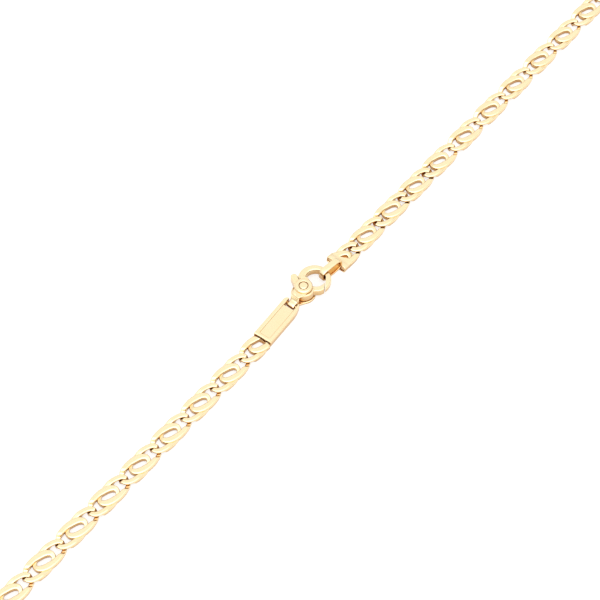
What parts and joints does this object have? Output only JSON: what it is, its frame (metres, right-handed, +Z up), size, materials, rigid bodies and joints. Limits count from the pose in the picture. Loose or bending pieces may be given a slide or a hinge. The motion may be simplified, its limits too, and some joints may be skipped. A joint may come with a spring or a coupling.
{
  "type": "egyptian knot chain",
  "caption": "Flat knot-link neck chain of interlocked twin ovals, closed by a trigger clasp that hangs on a ridged end tag and hooks a bail ring on an end cap.",
  "frame": {"origin": "on the surface the necklace lies on, under the middle of its bounding box", "axes": "+X along the straight stretch with the clasp, from the tag towards the cap; +Y across it, from the neck hollow outwards past the clasp; +Z up from the surface"},
  "size_m": [0.2548, 0.1124, 0.003],
  "materials": {
    "chain_gold": "polished",
    "fitting_gold": "polished"
  },
  "bodies": {
    "necklace": {"chain_tag_side": "chain_gold", "chain_cap_side": "chain_gold", "end_tag": "fitting_gold", "clasp_body": "fitting_gold", "clasp_rivet": "fitting_gold", "end_cap": "fitting_gold"},
    "lever": {"clasp_lever": "fitting_gold"}
  },
  "joints": [
    {"name": "lever_hinge", "type": "hinge", "parent": "necklace", "child": "lever", "pos_m": [-0.0104, 0.05261, 0.0015], "axis": [0, 0, 1], "range_deg": [0, 18], "stiffness_Nm_per_rad": 0.002, "springref_deg": -11.46}
  ]
}
